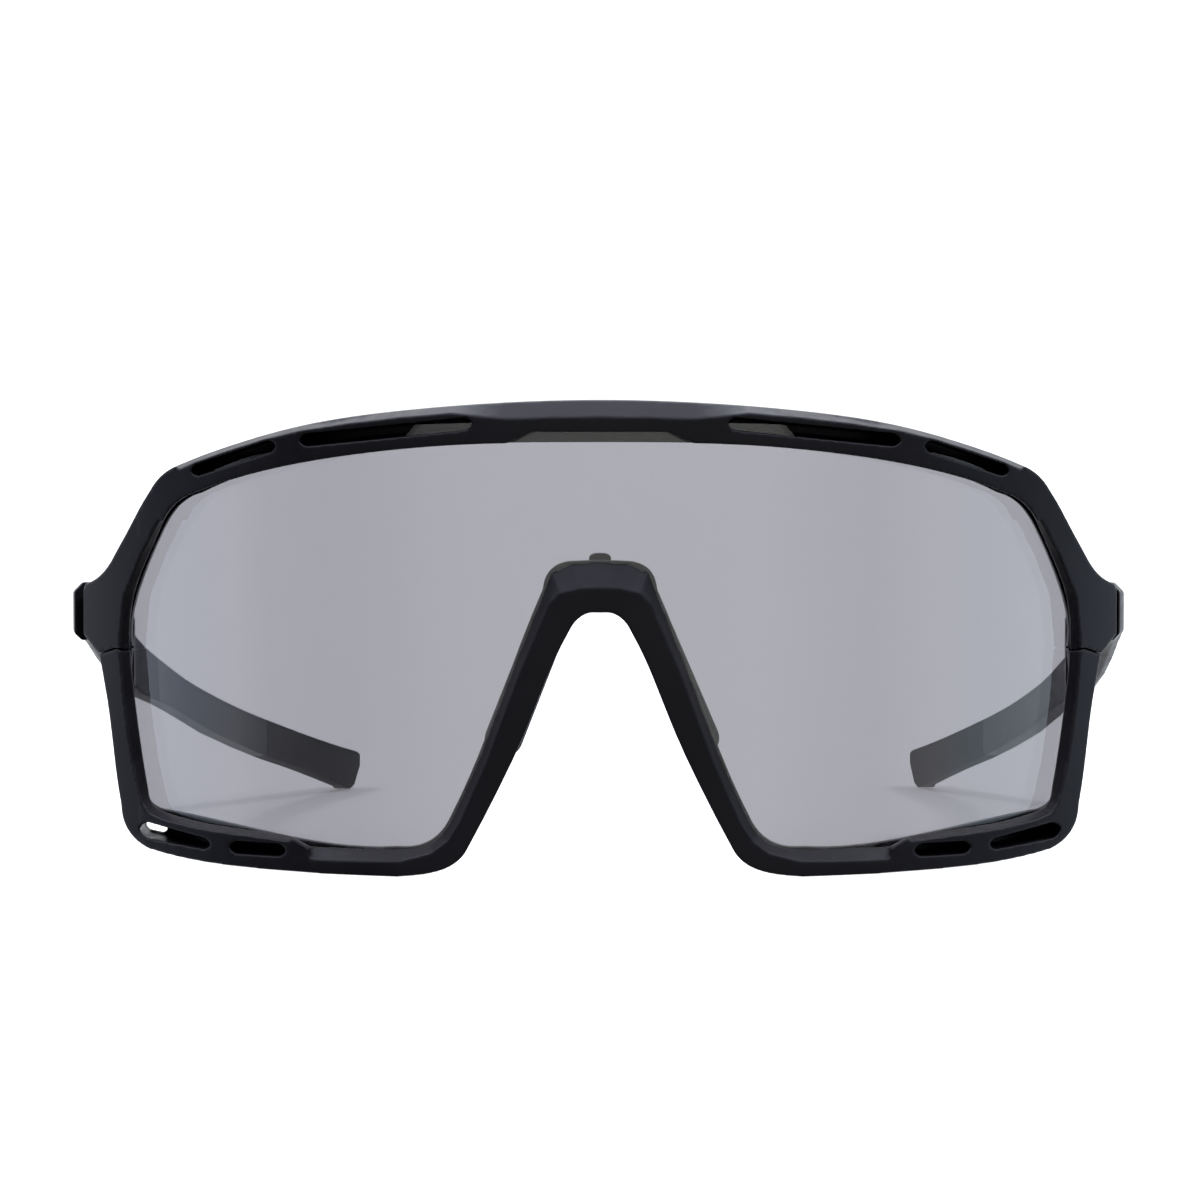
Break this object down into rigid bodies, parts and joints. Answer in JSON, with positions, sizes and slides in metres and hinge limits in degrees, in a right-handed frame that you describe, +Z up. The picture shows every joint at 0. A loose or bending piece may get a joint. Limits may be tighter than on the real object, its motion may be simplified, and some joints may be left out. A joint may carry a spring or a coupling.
{
  "type": "sport sunglasses",
  "caption": "Wraparound sport sunglasses: one curved shield lens, vented brow bar, detachable lower frame, adjustable nose pads and folding arms.",
  "frame": {"origin": "on the table, under the middle of the bounding box", "axes": "+Z up, the lens faces -Y, the arms run towards +Y, +X is the viewer's right"},
  "size_m": [0.1482, 0.1494, 0.064],
  "materials": {
    "frame": "fine texture, matte",
    "lens": "smooth, clear neutral grey tint",
    "carrier": "matte",
    "arm": "fine texture, matte",
    "rubber": "soft, matte",
    "steel": "plain drawn"
  },
  "bodies": {
    "front": {"upper_frame": "frame", "lower_frame": "frame", "shield_lens": "lens", "nose_carrier": "carrier", "seam_clip_left": "frame", "seam_clip_right": "frame", "hinge_leaf_left": "steel", "hinge_leaf_right": "steel"},
    "arm_left": {"temple_arm_left": "arm", "temple_tip_left": "rubber", "tip_core_left": "steel", "hinge_pin_left": "steel"},
    "pad_left": {"nose_pad_left": "rubber", "pad_wire_left": "steel"},
    "arm_right": {"temple_arm_right": "arm", "temple_tip_right": "rubber", "tip_core_right": "steel", "hinge_pin_right": "steel"},
    "pad_right": {"nose_pad_right": "rubber", "pad_wire_right": "steel"}
  },
  "joints": [
    {"name": "arm_hinge_left", "type": "hinge", "parent": "front", "child": "arm_left", "pos_m": [-0.068, -0.02955, 0.0331], "axis": [0, 0, -1], "range_deg": [-6.5, 81.5]},
    {"name": "arm_hinge_right", "type": "hinge", "parent": "front", "child": "arm_right", "pos_m": [0.068, -0.02955, 0.0331], "axis": [0, 0, 1], "range_deg": [0, 74]},
    {"name": "nose_pad_bend_left", "type": "hinge", "parent": "front", "child": "pad_left", "pos_m": [-0.0056, -0.06405, 0.0384], "axis": [0, 1, 0], "range_deg": [-4, 6]},
    {"name": "nose_pad_bend_right", "type": "hinge", "parent": "front", "child": "pad_right", "pos_m": [0.0056, -0.06405, 0.0384], "axis": [0, -1, 0], "range_deg": [-4, 6]}
  ]
}
